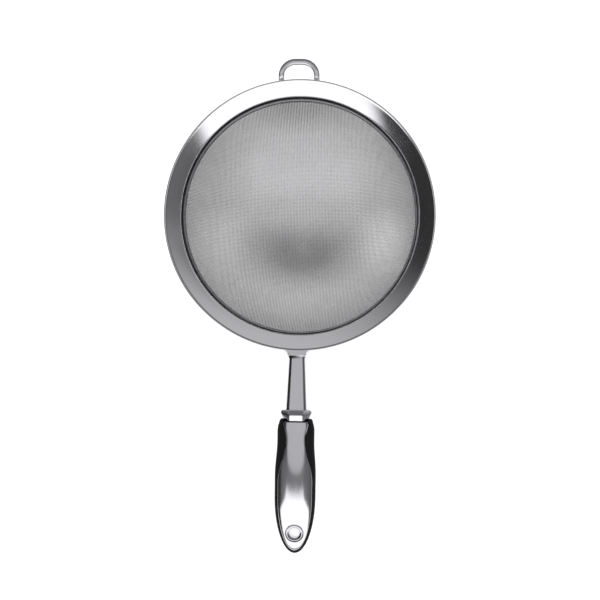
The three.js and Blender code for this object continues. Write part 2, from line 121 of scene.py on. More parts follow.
# Handle.
FIT_GAP = 0.3
HANDLE_LENGTH = 113.4
HANDLE_THICKNESS = 18.0
HANDLE_POWER = 2.3
HEAD_POWER = 2.65  # flatter near the ferrule
HEAD_END = 20.0
SHOULDER_WIDTH = 28.4
WAIST_WIDTH = 31.4
BELLY_WIDTH = 34.8
SHOULDER_LENGTH = 8.0
WAIST_END = 16.0
BELLY_START = 46.0
TIP_LENGTH = 49.6
ARCH_START = 20.0
ARCH_DROP = 8.0
SHELL_SHEET = 1.2
SHELL_HEAD_WIDTH = 20.6
SHELL_WAIST_WIDTH = 15.5
SHELL_WAIST_AT = 14.0
SHELL_BELLY_AT = 50.0
GRIP_BORDER = 2.9
GRIP_PRONG = 1.9  # the grip reaches forward beside the ferrule
PRONG_ROUND = 1.3
HOLE_RADIUS = 4.5
HOLE_FROM_TIP = 18.6
HOLE_BLOCK = 10.4  # half the length of the patch of shell round the hanging hole
BLOCK_ROWS = 16
EYELET_RADIUS = 7.5

CRIMP = (WARP_DIAMETER + WEFT_DIAMETER) / 4  # how far a wire bends aside at each crossing
COLLAR_OUTSIDE = COLLAR_INSIDE + RIM_SHEET
NECK_MIDDLE = NECK_THICKNESS / 2
FERRULE_FRONT = -(RIM_RADIUS + NECK_LENGTH)
FERRULE_BACK = FERRULE_FRONT - FERRULE_LENGTH
HANDLE_FRONT = FERRULE_BACK - FIT_GAP
TIP_START = HANDLE_LENGTH - TIP_LENGTH
HOLE_ALONG = HANDLE_LENGTH - HOLE_FROM_TIP


# Meshes.

def build_mesh(name, points, faces):
    """A smooth mesh from points in millimetres and arrays of faces, one array for each face size."""
    mesh = bpy.data.meshes.new(name)
    mesh.vertices.add(len(points))
    mesh.vertices.foreach_set("co", (np.asarray(points) * MM).ravel())
    corners = np.concatenate([np.asarray(f).ravel() for f in faces])
    sizes = np.concatenate([np.full(len(f), np.asarray(f).shape[1]) for f in faces])
    mesh.loops.add(len(corners))
    mesh.loops.foreach_set("vertex_index", corners.astype(np.int32))
    mesh.polygons.add(len(sizes))
    mesh.polygons.foreach_set("loop_start", (np.cumsum(sizes) - sizes).astype(np.int32))
    mesh.update(calc_edges=True)
    mesh.validate()
    mesh.shade_smooth()
    return mesh


def face_outwards(mesh):
    work = bmesh.new()
    work.from_mesh(mesh)
    bmesh.ops.recalc_face_normals(work, faces=work.faces)
    work.to_mesh(mesh)
    work.free()


def add_piece(name, shape, material, node, sharp=None):
    """Adds a piece that stands for a CAD node, with edges over an angle left sharp if one is given."""
    mesh = build_mesh(name, *shape)
    if sharp:
        face_outwards(mesh)
        mesh.set_sharp_from_angle(angle=math.radians(sharp))
    mesh.materials.append(material)
    obj = bpy.data.objects.new(name, mesh)
    bpy.context.scene.collection.objects.link(obj)
    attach(obj, "root")
    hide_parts(node)


def grid_faces(rows, columns, wrap_rows=False, wrap_columns=False):
    """Four-sided faces of a grid of points that are stored row by row."""
    row = np.arange(rows if wrap_rows else rows - 1)
    column = np.arange(columns if wrap_columns else columns - 1)
    r, c = [a.ravel() for a in np.meshgrid(row, column, indexing="ij")]
    here, after = r * columns, (r + 1) % rows * columns
    next_c = (c + 1) % columns
    return np.stack([here + c, here + next_c, after + next_c, after + c], 1)


def strip_faces(first, second):
    """Faces between two closed loops of point numbers."""
    first, second = np.asarray(first), np.asarray(second)
    return np.stack([first, np.roll(first, -1), np.roll(second, -1), second], 1)


def drop_unused(points, faces):
    used = np.unique(np.concatenate([f.ravel() for f in faces]))
    place = np.zeros(len(points), int)
    place[used] = np.arange(len(used))
    return points[used], [place[f] for f in faces]


def revolve(profile, segments):
    """Points and faces of a closed (radius, height) profile turned about the bowl's axis."""
    turn = full_turn(segments)
    radius, height = np.asarray(profile).T
    x = np.cos(turn)[:, None] * radius
    y = np.sin(turn)[:, None] * radius
    z = np.broadcast_to(height, x.shape)
    return np.stack([x, y, z], 2).reshape(-1, 3), [grid_faces(segments, len(radius), True, True)]


def arc(centre, radius, start, end, count):
    angle = np.radians(np.linspace(start, end, count))
    return np.stack([centre[0] + radius * np.cos(angle), centre[1] + radius * np.sin(angle)], 1)


def bezier(points, count):
    """Points on a quadratic curve."""
    a, b, c = [np.asarray(p, float) for p in points]
    t = np.linspace(0, 1, count)[:, None]
    return (1 - t) ** 2 * a + 2 * t * (1 - t) * b + t ** 2 * c


def round_corners(corners, radii, count):
    """A closed outline whose corners are rounded, each by its own cut-back."""
    corners = [np.asarray(c, float) for c in corners]
    outline = []
    for i, corner in enumerate(corners):
        before = corners[i - 1] - corner
        after = corners[(i + 1) % len(corners)] - corner
        start = corner + before / np.linalg.norm(before) * radii[i]
        end = corner + after / np.linalg.norm(after) * radii[i]
        outline.append(bezier([start, corner, end], count))
    return np.concatenate(outline)


def lerp(a, b, t):
    return a + (b - a) * t


def smoothstep(value, low, high):
    t = np.clip((np.asarray(value, float) - low) / (high - low), 0, 1)
    return t * t * (3 - 2 * t)


def full_turn(count):
    return np.arange(count) / count * 2 * math.pi


def oval(power, count):
    """A rounded section of half-width and half-height 1, from +X over +Z."""
    c, s = np.cos(full_turn(count)), np.sin(full_turn(count))
    return np.sign(c) * np.abs(c) ** (2 / power), np.sign(s) * np.abs(s) ** (2 / power)


def end_faces(rows, columns):
    """The first and last rows of a grid of points, as faces that close it."""
    return np.stack([np.arange(columns)[::-1], np.arange(columns) + (rows - 1) * columns])


# Materials.

class Nodes:
    """A node tree, with short calls to add and join its nodes."""

    def __init__(self, tree):
        self.tree = tree

    def add(self, kind, **settings):
        node = self.tree.nodes.new(kind)
        for key, value in settings.items():
            setattr(node, key, value)
        return node

    def join(self, value, node, socket):
        """Joins an output to a node's socket, or sets the socket to a number."""
        if isinstance(value, (int, float)):
            node.inputs[socket].default_value = value
        else:
            self.tree.links.new(value, node.inputs[socket])

    def separate(self, vector):
        node = self.add("ShaderNodeSeparateXYZ")
        self.join(vector, node, "Vector")
        return node.outputs

    def math(self, operation, first, second):
        node = self.add("ShaderNodeMath", operation=operation)
        self.join(first, node, 0)
        self.join(second, node, 1)
        return node.outputs["Value"]

    def times(self, *values):
        result = values[0]
        for value in values[1:]:
            result = self.math("MULTIPLY", result, value)
        return result

    def range(self, value, low, high, start=0.3, end=0.7, kind="LINEAR"):
        """A change from low to high, while a value goes from start to end."""
        node = self.add("ShaderNodeMapRange", interpolation_type=kind)
        for socket, number in zip(("From Min", "From Max", "To Min", "To Max"), (start, end, low, high)):
            node.inputs[socket].default_value = number
        self.join(value, node, "Value")
        return node.outputs["Result"]


class Shader(Nodes):
    """One material, whose looks depend on the place on the object."""

    def __init__(self, name, **fixed):
        self.material = bpy.data.materials.new(name)
        self.material.use_nodes = True
        super().__init__(self.material.node_tree)
        self.surface = self.tree.nodes["Principled BSDF"]
        for socket, value in fixed.items():
            self.surface.inputs[socket.replace("_", " ")].default_value = value
        self.place = self.add("ShaderNodeTexCoord").outputs["Object"]

    def mapped(self, place, scale, shift=(0, 0, 0)):
        node = self.add("ShaderNodeMapping")
        node.inputs["Scale"].default_value = scale
        node.inputs["Location"].default_value = shift
        self.join(place, node, "Vector")
        return node.outputs["Vector"]

    def length(self, vector):
        node = self.add("ShaderNodeVectorMath", operation="LENGTH")
        self.join(vector, node, 0)
        return node.outputs["Value"]

    def stretched(self, scale):
        """The object's coordinates, stretched on each axis."""
        return self.mapped(self.place, scale)

    def around_axis(self, scale):
        """Coordinates that run round the bowl's axis, as radius, turn and height, each stretched."""
        x, y, z = self.separate(self.place)
        node = self.add("ShaderNodeCombineXYZ")
        self.join(self.length(self.stretched((1, 1, 0))), node, "X")
        self.join(self.math("ARCTAN2", y, x), node, "Y")
        self.join(z, node, "Z")
        return self.mapped(node.outputs["Vector"], scale)

    def away(self, centre, reach):
        """The distance from a centre on X and Y, as a share of the reach on each."""
        scale = [1 / (r * MM) for r in reach]
        shift = [-c * MM * s for c, s in zip(centre, scale)]
        return self.length(self.mapped(self.place, (*scale, 0), (*shift, 0)))

    def noise(self, place, scale, detail, rough=0.55):
        node = self.add("ShaderNodeTexNoise")
        for socket, number in zip(("Scale", "Detail", "Roughness"), (scale, detail, rough)):
            node.inputs[socket].default_value = number
        self.join(place, node, "Vector")
        return node.outputs["Fac"]

    def colour(self, share, first, second):
        """Sets the base colour between two, by a value from 0 to 1."""
        node = self.add("ShaderNodeMix", data_type="RGBA")
        self.join(share, node, "Factor")
        node.inputs[6].default_value = (*first, 1)
        node.inputs[7].default_value = (*second, 1)
        self.join(node.outputs[2], self.surface, "Base Color")

    def overlay(self, share, colour):
        """Lays a colour over the base colour, by a value from 0 to 1."""
        base = self.surface.inputs["Base Color"].links[0].from_socket
        node = self.add("ShaderNodeMix", data_type="RGBA")
        self.join(share, node, "Factor")
        self.join(base, node, 6)
        node.inputs[7].default_value = (*colour, 1)
        self.join(node.outputs[2], self.surface, "Base Color")

    def roughness(self, value):
        self.join(value, self.surface, "Roughness")

    def bump(self, height, distance, strength=1.0):
        """Height variation, in millimetres from the lowest to the highest point."""
        node = self.add("ShaderNodeBump")
        node.inputs["Strength"].default_value = strength
        node.inputs["Distance"].default_value = distance * MM
        self.join(height, node, "Height")
        self.join(node.outputs["Normal"], self.surface, "Normal")


def polished_rim_steel():
    """Polished steel with fine marks that run round the rim."""
    s = Shader("polished_rim_steel", Metallic=1.0)
    marks = s.noise(s.around_axis((1.0, 0.02, 1.0)), 2600, 2.0)
    wiped = s.noise(s.place, 26, 4.0)
    s.colour(wiped, (0.60, 0.594, 0.621), (0.66, 0.654, 0.683))
    s.roughness(s.times(s.range(marks, 0.8, 1.2), s.range(wiped, 0.10, 0.17)))
    s.bump(marks, 0.0016)
    return s.material


def polished_steel():
    """Polished steel with faint wiping marks."""
    s = Shader("polished_steel", Metallic=1.0)
    marks = s.noise(s.stretched((1.0, 0.12, 1.0)), 1500, 2.0)
    wiped = s.noise(s.place, 60, 4.0)
    s.colour(wiped, (0.59, 0.584, 0.611), (0.66, 0.654, 0.683))
    s.roughness(s.times(s.range(marks, 0.85, 1.15), s.range(wiped, 0.11, 0.19)))
    s.bump(marks, 0.0014)
    return s.material


def satin_steel(name):
    """Satin steel, brushed along the handle."""
    s = Shader(name, Metallic=1.0)
    marks = s.noise(s.stretched((1.0, 0.035, 1.0)), 2400, 3.0)
    wiped = s.noise(s.place, 45, 4.0)
    s.colour(wiped, (0.575, 0.569, 0.602), (0.635, 0.629, 0.665))
    s.roughness(s.times(s.range(marks, 0.8, 1.25), s.range(wiped, 0.09, 0.13)))
    s.bump(marks, 0.0008)
    return s


def crease_shaded_steel():
    """Satin steel with a dark line of painted shade in the crease behind the weld at the rim, heavier on the
    left.
    """
    s = satin_steel("crease_shaded_steel")
    x, y, _ = s.separate(s.place)
    line, width = -(RIM_RADIUS + CREASE_SHADE_AT) * MM, CREASE_SHADE_WIDTH * MM
    after = s.range(y, 0, 1.3, line - width, line)
    before = s.range(y, 1.3, 0, line, line + width)
    side = s.range(x, 1, 0.12, -4 * MM, 3 * MM)
    broken = s.range(s.noise(s.place, 700, 2.0), 0.75, 1.0)
    # Painted shade: a dark line across the neck in the crease behind the weld, heavier on the left.
    s.overlay(s.times(after, before, s.times(side, broken)), (0.05, 0.048, 0.047))
    return s


def wire_steel():
    """Drawn steel wire, with painted shade towards the edge of the bowl and on the left and right towards the
    loop, and darker in a crescent at the top, below the loop's weld.
    """
    s = Shader("wire_steel", Metallic=1.0)
    patches = s.noise(s.place, 38, 4.0, 0.6)
    drawn = s.noise(s.place, 900, 2.0)
    s.colour(patches, (0.53, 0.525, 0.547), (0.595, 0.59, 0.612))
    # Painted shade: the wires darken towards the edge of the bowl.
    edge_shade = s.range(s.away((0, 0), (100, 100)), 0, 1, 0.7, 1.0)
    s.overlay(edge_shade, (0.4, 0.397, 0.413))
    # Painted shade on the left and right of the bowl, towards the loop.
    for side in (-82, 82):
        side_shade = s.range(s.away((side, 40), (43, 48)), 1, 0, 0.25, 1.0)
        s.overlay(side_shade, (0.22, 0.218, 0.227))
    # Darker in a crescent at the top of the mesh, below the loop's weld.
    top_crescent = s.range(s.away((-4, 99), (46, 24)), 1, 0, 0.3, 1.0)
    s.overlay(top_crescent, (0.06, 0.059, 0.062))
    s.roughness(s.times(s.range(drawn, 0.85, 1.15), s.range(patches, 0.28, 0.21)))
    return s.material


def ring_steel():
    """The unpolished steel of the hoop that grips the mesh."""
    s = Shader("ring_steel", Metallic=1.0)
    rolled = s.noise(s.around_axis((1.0, 0.02, 1.0)), 700, 3.0)
    s.colour(rolled, (0.25, 0.247, 0.258), (0.32, 0.317, 0.33))
    s.roughness(s.range(rolled, 0.24, 0.34))
    s.bump(rolled, 0.03)
    return s.material


def hem_steel():
    """Dull steel where the cut ends of the wires are pressed together; its dark colour is also painted shade
    for the narrow groove between the ring and the collar.
    """
    s = Shader("hem_steel", Metallic=1.0)
    pressed = s.noise(s.around_axis((1.0, 0.1, 1.0)), 900, 3.0)
    # Partly painted shade: dark to deepen the groove between the ring and the collar.
    s.colour(pressed, (0.12, 0.12, 0.125), (0.2, 0.2, 0.205))
    s.roughness(s.range(pressed, 0.45, 0.6))
    s.bump(pressed, 0.05)
    return s.material


def soft_black():
    """Soft black elastomer with a fine eroded grain and paler rubbed patches."""
    s = Shader("soft_black", Metallic=0.0, IOR=1.46, Specular_IOR_Level=0.08)
    grain = s.noise(s.place, 2300, 3.0, 0.65)
    rubbed = s.noise(s.stretched((1.0, 0.4, 1.0)), 70, 4.0)
    s.colour(rubbed, (0.006, 0.006, 0.0066), (0.011, 0.011, 0.0118))
    s.roughness(s.times(s.range(grain, 0.9, 1.1), s.range(rubbed, 0.58, 0.7)))
    s.bump(grain, 0.03, 0.6)
    return s.material


def core_nylon():
    """Moulded nylon, with faint flow marks from the mould."""
    s = Shader("core_nylon", Metallic=0.0)
    flow = s.noise(s.stretched((1.0, 0.2, 1.0)), 90, 3.0)
    grain = s.noise(s.place, 1800, 2.0)
    s.colour(flow, (0.025, 0.025, 0.027), (0.04, 0.04, 0.042))
    s.roughness(s.range(flow, 0.45, 0.6))
    s.bump(grain, 0.02, 0.5)
    return s.material


RIM_STEEL = polished_rim_steel()
STEEL = polished_steel()
SATIN = satin_steel("satin_steel").material
CREASE_SHADED = crease_shaded_steel().material
WIRE = wire_steel()
RING_STEEL = ring_steel()
HEM = hem_steel()
SOFT = soft_black()
CORE = core_nylon()


# Rim band and retaining ring.

def beside(line, distance):
    """A line moved to its left by a distance."""
    way = np.gradient(line, axis=0)
    way /= np.linalg.norm(way, axis=1)[:, None]
    return line + np.stack([-way[:, 1], way[:, 0]], 1) * distance


def bead_line():
    """The middle of the rim's sheet, from its tucked end over the bead to the start of the flange."""
    half = RIM_SHEET / 2
    centre = np.array([RIM_RADIUS - BEAD_RADIUS, RIM_TOP - CREST_RADIUS])
    crest = centre + [BEAD_RADIUS - CREST_RADIUS, 0]
    start = math.radians(FOLD_START)
    fold = crest + (CREST_RADIUS - FOLD_RADIUS) * np.array([math.cos(start), math.sin(start)])
    return np.concatenate([
        arc(centre, BEAD_RADIUS - half, BEAD_TUCK, 0, 24)[:-1],
        arc(crest, CREST_RADIUS - half, 0, FOLD_START, 14)[:-1],
        arc(fold, FOLD_RADIUS - half, FOLD_START, 90 + FLANGE_SLOPE, 12),
    ])


def rim_line():
    """The middle of the rim's sheet, from the tucked end of the bead to the foot of the collar."""
    bead = bead_line()
    slope = math.radians(FLANGE_SLOPE)
    way = np.array([-math.cos(slope), -math.sin(slope)])
    run = (bead[-1][0] - COLLAR_INSIDE - RIM_SHEET / 2) / math.cos(slope)
    corner = bead[-1] + way * run
    bend = corner - way * COLLAR_BEND
    t = np.linspace(0, 1, FLANGE_POINTS + 2)[1:-1, None]
    under = np.array([-way[1], way[0]])
    flange = lerp(bead[-1], bend, t) + under * 4 * t * (1 - t) * FLANGE_BOW
    turn = bezier([bend, corner, corner - [0, COLLAR_BEND]], 9)
    heights = np.linspace(corner[1] - COLLAR_BEND, COLLAR_FOOT + RIM_SHEET / 2, 7)[1:]
    foot = np.stack([np.full(6, corner[0]), heights], 1)
    return np.concatenate([bead, flange, turn, foot])


def round_end(tip, way, half):
    """A half circle round the end of a sheet, from the right of its way to the left."""
    turn = np.radians(np.linspace(-90, 90, 9))[1:-1, None]
    way = way / np.linalg.norm(way)
    return tip + half * (np.cos(turn) * way + np.sin(turn) * np.array([-way[1], way[0]]))


def rim_profile():
    line = rim_line()
    half = RIM_SHEET / 2
    return np.concatenate([
        beside(line, -half), round_end(line[-1], line[-1] - line[-2], half),
        beside(line, half)[::-1], round_end(line[0], line[0] - line[1], half),
    ])


def hoop(inside, outside, top, foot_rounding, top_rounding, count):
    """An upright band on the foot of the retaining ring, with rounded edges."""
    corners = [(inside, RING_FOOT), (outside, RING_FOOT), (outside, top), (inside, top)]
    radii = [foot_rounding, foot_rounding, top_rounding, top_rounding]
    return revolve(round_corners(corners, radii, count), RIM_SEGMENTS)


rim = revolve(rim_profile(), RIM_SEGMENTS)
add_piece("rim", rim, RIM_STEEL, "rim_band", sharp=50)
ring = hoop(RING_INSIDE, RING_OUTSIDE, RING_TOP, 0.3, 0.7, 9)
add_piece("retaining_ring", ring, RING_STEEL, "mesh_retaining_ring", sharp=50)


# Mesh bowl: woven wires, sheared as a square cloth is when it is pressed into a bowl.

def cloth_quarter():
    """Ways to a quarter of the cloth's crossings, from the lowest point, at even steps along each wire."""
    steps = WARP_PITCH / BOWL_RADIUS, WEFT_PITCH / BOWL_RADIUS
    across, along = [step * np.arange(int(CLOTH_REACH / step)) for step in steps]
    net = np.zeros((len(across), len(along), 3))
    net[:, 0] = np.stack([np.sin(across), 0 * across, -np.cos(across)], 1)
    net[0, :] = np.stack([0 * along, np.sin(along), -np.cos(along)], 1)
    for total in range(len(across) + len(along) - 3):
        i = np.arange(max(0, total - len(along) + 2), min(total, len(across) - 2) + 1)
        j = total - i
        middle = net[i + 1, j] + net[i, j + 1]
        middle /= np.linalg.norm(middle, axis=1)[:, None]
        here = net[i, j]
        net[i + 1, j + 1] = 2 * np.sum(here * middle, 1)[:, None] * middle - here
    return net


def cloth_point(direction, lift):
    """The place of a crossing on the bowl, or on its upright skirt above the edge of the curve."""
    depth = BOWL_RADIUS * np.arccos(np.clip(-direction[..., 2], -1, 1))
    edge_angle = math.asin(MESH_SKIRT_RADIUS / BOWL_RADIUS)
    above = np.maximum(depth - BOWL_RADIUS * edge_angle, 0)
    flat = np.linalg.norm(direction[..., :2], axis=-1)
    out = direction[..., :2] / np.maximum(flat, 1e-9)[..., None]
    on_curve = above <= 0
    radius = np.where(on_curve, (BOWL_RADIUS + lift) * flat, MESH_SKIRT_RADIUS + lift)
    low = BOWL_CENTRE_HEIGHT + (BOWL_RADIUS + lift) * direction[..., 2]
    edge = BOWL_CENTRE_HEIGHT - BOWL_RADIUS * math.cos(edge_angle)
    height = np.where(on_curve, low, edge + above)
    return np.concatenate([out * radius[..., None], height[..., None]], -1)


def wire_mesh(lines, diameter):
    """Points and faces of wires with a four-sided section, along lines of points with their outward ways."""
    all_points, all_faces, start = [], [], 0
    radius = diameter / 2
    for line, out in lines:
        way = np.gradient(line, axis=0)
        way /= np.linalg.norm(way, axis=1)[:, None]
        side = np.cross(way, out)
        side /= np.linalg.norm(side, axis=1)[:, None]
        up = np.cross(side, way)
        ring = line[:, None] + radius * np.stack([side, up, -side, -up], 1)
        all_points.append(ring.reshape(-1, 3))
        all_faces.append(grid_faces(len(line), 4, False, True) + start)
        all_faces.append(np.array([[3, 2, 1, 0]]) + start)
        start += 4 * len(line)
        all_faces.append(np.array([[-4, -3, -2, -1]]) + start)
    return np.concatenate(all_points), [np.concatenate(all_faces)]


def cloth_lines():
    """For each warp and weft wire, its crossings inside the edge of the mesh and their outward ways."""
    quarter = cloth_quarter()
    across, along = [np.arange(1 - count, count) for count in quarter.shape[:2]]
    net = quarter[np.abs(across)][:, np.abs(along)] * np.ones(3)
    net[..., 0] *= np.sign(across)[:, None]
    net[..., 1] *= np.sign(along)
    edge = BOWL_CENTRE_HEIGHT - math.sqrt(BOWL_RADIUS ** 2 - MESH_SKIRT_RADIUS ** 2)
    reach = math.asin(MESH_SKIRT_RADIUS / BOWL_RADIUS) + (MESH_EDGE_HEIGHT - edge) / BOWL_RADIUS
    inside = np.arccos(np.clip(-net[..., 2], -1, 1)) <= reach
    over = np.where((across[:, None] + along) % 2 == 0, 1, -1)
    sets = {"warp": [], "weft": []}
    for name, wires in (("warp", (net, over, inside)), ("weft", (net.swapaxes(0, 1), -over.T, inside.T))):
        for direction, lift, keep in zip(*wires):
            middle = len(keep) // 2
            if not keep[middle]:
                continue
            first = middle - np.argmin(keep[middle::-1]) + 1
            last = middle + np.argmin(keep[middle:])
            if last - first < 3:
                continue
            direction = direction[first:last]
            sets[name].append((cloth_point(direction, lift[first:last] * CRIMP), direction))
    return sets


MESH_WIRES = {
    "warp": (WARP_DIAMETER, "left", "right"),
    "weft": (WEFT_DIAMETER, "handle_side", "loop_side"),
}
for name, lines in cloth_lines().items():
    half = len(lines) // 2
    diameter, *sides = MESH_WIRES[name]
    for side, part in zip(sides, (lines[:half], lines[half:])):
        add_piece(f"mesh_{name}_{side}", wire_mesh(part, diameter), WIRE, "mesh_bowl")

hem_inside, hem_outside = MESH_SKIRT_RADIUS - HEM_THICKNESS / 2, MESH_SKIRT_RADIUS + HEM_THICKNESS / 2
hem = hoop(hem_inside, hem_outside, HEM_TOP, 0.2, 0.45, 6)
add_piece("mesh_hem", hem, HEM, "mesh_bowl", sharp=50)


# Rest loop.

def tube(line, radius, sides):
    """Points and faces of a wire along a line, with closed ends."""
    way = np.gradient(line, axis=0)
    way /= np.linalg.norm(way, axis=1)[:, None]
    side = np.cross(way, [0, 0, 1.0])
    side /= np.linalg.norm(side, axis=1)[:, None]
    up = np.cross(side, way)
    right, top = oval(LOOP_POWER, sides)
    ring = right[None, :, None] * side[:, None] + top[None, :, None] * up[:, None]
    points = (line[:, None] + radius * ring).reshape(-1, 3)
    return points, [grid_faces(len(line), sides, False, True), end_faces(len(line), sides)]


def outside_collar(shape):
    """Moves the points of a shape that lie inside the collar out to it, as far as the weld lets them."""
    points, faces = shape
    flat = np.linalg.norm(points[:, :2], axis=1)
    points[:, :2] *= (np.maximum(flat, COLLAR_OUTSIDE - WELD_SINK) / flat)[:, None]
    return points, faces


def quarter_bend(start, corner, end, count):
    """A quarter circle between two straight stretches."""
    start, corner, end = [np.asarray(p, float) for p in (start, corner, end)]
    t = np.radians(np.linspace(0, 90, count))[:, None]
    return corner + (start - corner) * (1 - np.sin(t)) + (end - corner) * (1 - np.cos(t))


def loop_dip(y):
    """How far the wire has dipped below its level outer part, where it goes in under the rim."""
    level, knee, edge, under = [np.array([RIM_RADIUS + past, drop]) for past, drop in LOOP_DIP]
    outer = bezier([level, knee, edge], 30)
    inner = bezier([edge, under, (COLLAR_INSIDE, LOOP_ROOT_DROP)], 30)
    past, drop = np.concatenate([outer, inner[1:]])[::-1].T
    return np.interp(y, past, drop)


def loop_line():
    radius = LOOP_WIRE / 2
    side = LOOP_WIDTH / 2 - radius
    far = RIM_RADIUS + LOOP_REACH - radius
    bends_at = far - LOOP_BEND_RADIUS
    straight = side - LOOP_BEND_RADIUS
    root = math.sqrt(COLLAR_INSIDE ** 2 - (LOOP_WIDTH / 2) ** 2)
    left = np.concatenate([
        np.linspace((-side, root, radius), (-side, bends_at, radius), 48)[:-1],
        quarter_bend((-side, bends_at, radius), (-side, far, radius), (-straight, far, radius), 32),
    ])
    right = left[::-1] * [-1, 1, 1]
    across = np.linspace(left[-1], right[0], 8)[1:-1]
    line = np.concatenate([left, across, right])
    line[:, 0] += LOOP_ASIDE
    line[:, 2] -= loop_dip(line[:, 1])
    return line


loop = outside_collar(tube(loop_line(), LOOP_WIRE / 2, 40))
add_piece("rest_loop_wire", loop, STEEL, "rest_loop", sharp=60)


# Neck and ferrule.

def under_rim(points):
    """Keeps points below the rim's underside, as far as the weld lets them."""
    start = len(bead_line())
    under = beside(rim_line(), RIM_SHEET / 2)[start:start + FLANGE_POINTS][::-1]
    flat = np.linalg.norm(points[:, :2], axis=1)
    limit = np.interp(flat, under[:, 0], under[:, 1])
    from_bead = flat - RIM_RADIUS + BEAD_RADIUS
    bead_foot = RIM_TOP - CREST_RADIUS - np.sqrt(np.maximum(BEAD_RADIUS ** 2 - from_bead ** 2, 0))
    limit = np.where(np.abs(from_bead) < BEAD_RADIUS, np.minimum(limit, bead_foot), limit)
    limit = np.where(flat > RIM_RADIUS, np.inf, limit)
    points[:, 2] = np.minimum(points[:, 2], limit + WELD_SINK)
    return points


def neck_points():
    """The neck from under the rim to the ferrule's back, and the tang behind it."""
    sides = 64
    past = np.concatenate([
        np.linspace(-NECK_UNDER, -ROOT_OVER - 0.05, 12), np.linspace(-ROOT_OVER, FLARE_REACH + 1, 72)[:-1],
        np.linspace(FLARE_REACH + 1, NECK_LENGTH + FERRULE_LENGTH, 36),
    ])
    rows = []
    for p in past:
        into = np.clip((FLARE_REACH - max(p, 0)) / FLARE_RADIUS, 0, 1)
        flare = 2 * FLARE_RADIUS * (1 - math.sqrt(1 - into ** 2))
        width = lerp(NECK_ROOT_WIDTH, NECK_END_WIDTH, np.clip(p / NECK_LENGTH, 0, 1)) + flare
        fallen = float(smoothstep(p, *ROOT_STEP))
        under = p < -ROOT_OVER
        height = NECK_THICKNESS if under else lerp(ROOT_TOP, NECK_THICKNESS, fallen)
        across, up = oval(lerp(ROOT_POWER, NECK_POWER, fallen), sides)
        x = width / 2 * across
        radius = RIM_RADIUS + p
        bow = (radius - np.sqrt(radius ** 2 - x ** 2)) * float(1 - smoothstep(p, 0, FLARE_REACH))
        row = np.stack([x, bow - radius, height / 2 * (1 + up)], 1)
        rows.append(under_rim(row) if under else row)
    across, up = oval(NECK_POWER, sides)
    for y in (FERRULE_BACK - 0.01, FERRULE_BACK - TANG_LENGTH):
        x, z = TANG_WIDTH / 2 * across, NECK_MIDDLE + TANG_THICKNESS / 2 * up
        rows.append(np.stack([x, np.full(sides, y), z], 1))
    return np.concatenate(rows), [grid_faces(len(rows), sides, False, True), end_faces(len(rows), sides)]


neck = outside_collar(neck_points())
add_piece("neck", neck, CREASE_SHADED, "neck_stem", sharp=50)


def ferrule_points():
    """A collar of eight sides round the neck, with rounded front and back edges."""
    sides = 96
    top, edge = (FERRULE_TOP_WIDTH / 2, FERRULE_HEIGHT / 2), (FERRULE_WIDTH / 2, FERRULE_SIDE_HEIGHT / 2)
    quarter = [edge, top, (-top[0], top[1]), (-edge[0], edge[1])]
    corners = quarter + [(-x, -z) for x, z in quarter]
    across, up = round_corners(corners, FERRULE_ROUNDING * 2, 12).T
    up = up / top[1]
    outer = np.sign(across) * np.clip((np.abs(across) - top[0]) / (edge[0] - top[0]), 0, 1)
    hole_across, hole_up = oval(NECK_POWER, sides)
    front = [(0.0, 0.9), (0.08, 0.55), (0.25, 0.27), (0.55, 0.08)]
    middle = [(along, 0.0) for along in np.linspace(0.9, 8.7, 22)]
    back = [(9.05, 0.08), (9.35, 0.27), (9.52, 0.55), (FERRULE_LENGTH, 0.9)]
    rows = []
    for along, shrink in front + middle + back:
        rise = float(smoothstep(along, FERRULE_RISE_AT, FERRULE_CROWN_AT))
        half = lerp(FERRULE_LIP_HEIGHT, FERRULE_HEIGHT, rise) / 2
        half -= FERRULE_CROWN_FALL * max(along - FERRULE_CROWN_AT, 0)
        narrow = FERRULE_NOSE * max(1 - along / FERRULE_WIDEST_AT, 0) ** 2
        narrow += FERRULE_WAIST * max(along - FERRULE_WIDEST_AT, 0) / (FERRULE_LENGTH - FERRULE_WIDEST_AT)
        y = np.full(sides, FERRULE_FRONT - along)
        x = (across - narrow * outer) * (1 - 2 * shrink / FERRULE_WIDTH)
        rows.append(np.stack([x, y, NECK_MIDDLE + (half - shrink) * up], 1))
    for y in (FERRULE_BACK, FERRULE_FRONT):
        x = (NECK_END_WIDTH / 2 + FIT_GAP * 0.5) * hole_across
        z = NECK_MIDDLE + (NECK_THICKNESS / 2 + FIT_GAP * 0.5) * hole_up
        rows.append(np.stack([x, np.full(sides, y), z], 1))
    return np.concatenate(rows), [grid_faces(len(rows), sides, True, True)]


add_piece("ferrule", ferrule_points(), STEEL, "neck_ferrule", sharp=45)


# Handle. Along is the distance from the handle's front towards its tip.

def tip_scale(along, inset=0.0):
    into = np.maximum(along - TIP_START, 0) / (TIP_LENGTH - inset)
    return np.sqrt(np.maximum(1 - into ** 2, 0))


def body_half_width(along):
    shoulder = np.sin(np.minimum(along / SHOULDER_LENGTH, 1) * math.pi / 2)
    waist = lerp(SHOULDER_WIDTH, WAIST_WIDTH, shoulder)
    return lerp(waist, BELLY_WIDTH, smoothstep(along, WAIST_END, BELLY_START)) / 2


def arch_middle(along):
    into = np.maximum(along - ARCH_START, 0) / (HANDLE_LENGTH - ARCH_START)
    return NECK_MIDDLE - ARCH_DROP * into ** 2


